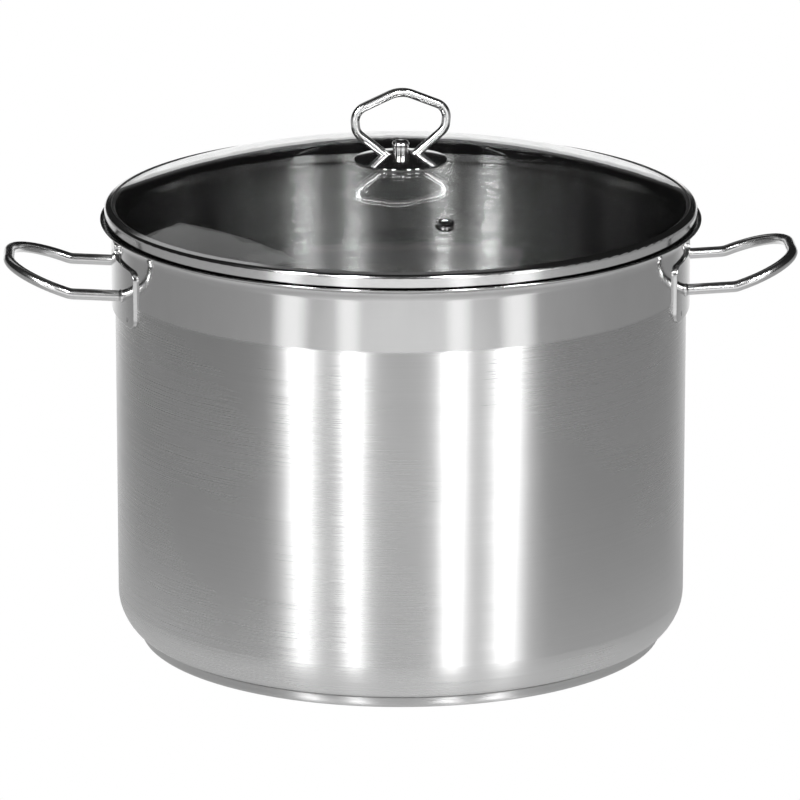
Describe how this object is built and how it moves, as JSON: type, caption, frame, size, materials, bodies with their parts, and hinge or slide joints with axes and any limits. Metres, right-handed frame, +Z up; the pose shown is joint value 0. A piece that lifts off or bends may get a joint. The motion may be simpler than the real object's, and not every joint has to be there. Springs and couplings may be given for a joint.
{
  "type": "stock pot",
  "caption": "Tall straight-sided stainless steel cooking pot with a flared rim, wire side handles, a heat-spreading base and a domed glass lid with a wire knob and steam vent.",
  "frame": {"origin": "centre of the flat underside of the base, on the pot's axis, at table height", "axes": "+Z up along the pot's axis; +X through the middle of one side handle, -X through the other; +Y away from the side that the lid's vent lies on"},
  "size_m": [0.4186, 0.3168, 0.2963],
  "materials": {
    "pot_steel": "brushed round the pot, satin polished band under the rim",
    "core_aluminium": "plain rolled",
    "capsule_steel": "satin",
    "bracket_steel": "mirror polished stainless steel",
    "wire_steel": "mirror polished stainless steel",
    "clear_glass": "clear tempered glass, polished",
    "ring_steel": "mirror polished stainless steel",
    "rosette_steel": "mirror polished stainless steel",
    "fitting_steel": "bright turned stainless steel",
    "seal_silicone": "matt silicone",
    "grommet_silicone": "matt translucent silicone"
  },
  "bodies": {
    "pot": {"pot_body": "pot_steel", "base_core": "core_aluminium", "base_capsule": "capsule_steel", "handle_bracket_left": "bracket_steel", "handle_bracket_right": "bracket_steel", "handle_wire_left": "wire_steel", "handle_wire_right": "wire_steel"},
    "lid": {"lid_glass": "clear_glass", "lid_rim_ring": "ring_steel", "lid_rim_seal": "seal_silicone", "vent_eyelet": "fitting_steel", "vent_washer": "fitting_steel", "knob_rosette": "rosette_steel", "knob_pad": "seal_silicone", "knob_loop": "wire_steel", "knob_screw": "fitting_steel", "knob_grommet": "grommet_silicone", "knob_disc_nut": "fitting_steel"}
  },
  "joints": [
    {"name": "lid_lift", "type": "slide", "parent": "pot", "child": "lid", "axis": [0, 0, 1], "range_m": [0, 0.16]}
  ]
}
